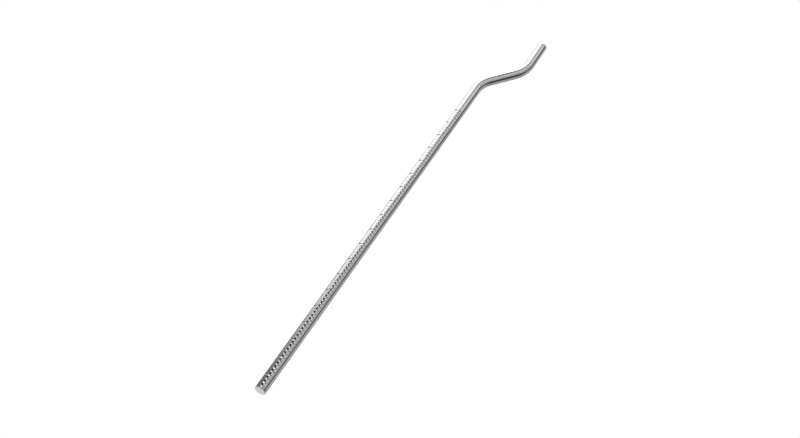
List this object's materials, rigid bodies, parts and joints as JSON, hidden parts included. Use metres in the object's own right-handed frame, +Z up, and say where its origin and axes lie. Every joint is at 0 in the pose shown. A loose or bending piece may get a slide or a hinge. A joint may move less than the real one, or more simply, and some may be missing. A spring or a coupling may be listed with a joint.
{
  "type": "garden dibber",
  "caption": "Long slender polished steel garden dibber, a round tube with ring-like depth marks along its shaft, cranked sideways near the top and plugged flush at both ends.",
  "frame": {"origin": "on the surface it lies on, under the middle of the dibber's bounding box", "axes": "+X along the shaft from the tip to the top, +Z up from the surface it lies on, the crank steps over towards -Y"},
  "size_m": [1.2758, 0.1088, 0.025],
  "materials": {
    "polished_tube": "polished stainless steel tube, drawn and buffed along its length",
    "turned_plug": "turned and polished stainless steel"
  },
  "bodies": {
    "root": {"shaft_tube": "polished_tube", "tip_plug": "turned_plug", "top_plug": "turned_plug"}
  },
  "joints": []
}
